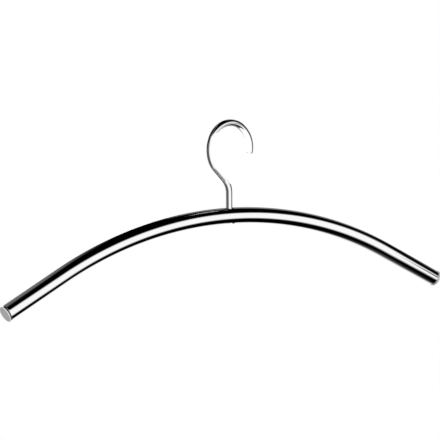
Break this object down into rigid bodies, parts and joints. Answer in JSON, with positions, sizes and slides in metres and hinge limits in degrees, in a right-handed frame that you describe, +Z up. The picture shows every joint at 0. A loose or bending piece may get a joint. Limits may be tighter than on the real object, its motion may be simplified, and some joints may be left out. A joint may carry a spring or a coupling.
{
  "type": "coat hanger",
  "caption": "Arched coat hanger of bent chromed round tube with plugged ends and a question-mark hook of round rod that swivels in its crown.",
  "frame": {"origin": "the rail's seat: the highest point inside the hook's loop, where a clothes rail touches it", "axes": "+Z up, +X along the bow towards the side to which the hook opens, Y along the rail when the hook is square to the bow; the swivel axis is vertical, 1.1 mm behind the seat along the hook"},
  "size_m": [0.4404, 0.014, 0.157],
  "materials": {
    "chrome": "bright mirror-polished chrome plating",
    "plain_steel": "plain zinc-plated steel",
    "bush_plastic": "moulded black plastic",
    "plug_plastic": "moulded light grey plastic, satin"
  },
  "bodies": {
    "hook": {"hook": "chrome", "retaining_washer": "plain_steel"},
    "bow": {"bow_tube": "chrome", "swivel_bush": "bush_plastic", "left_end_plug": "plug_plastic", "right_end_plug": "plug_plastic"}
  },
  "joints": [
    {"name": "bow_swivel", "type": "hinge", "parent": "hook", "child": "bow", "pos_m": [-0.0011, -0.00013, -0.06938], "axis": [0, 0, 1], "continuous": true}
  ]
}
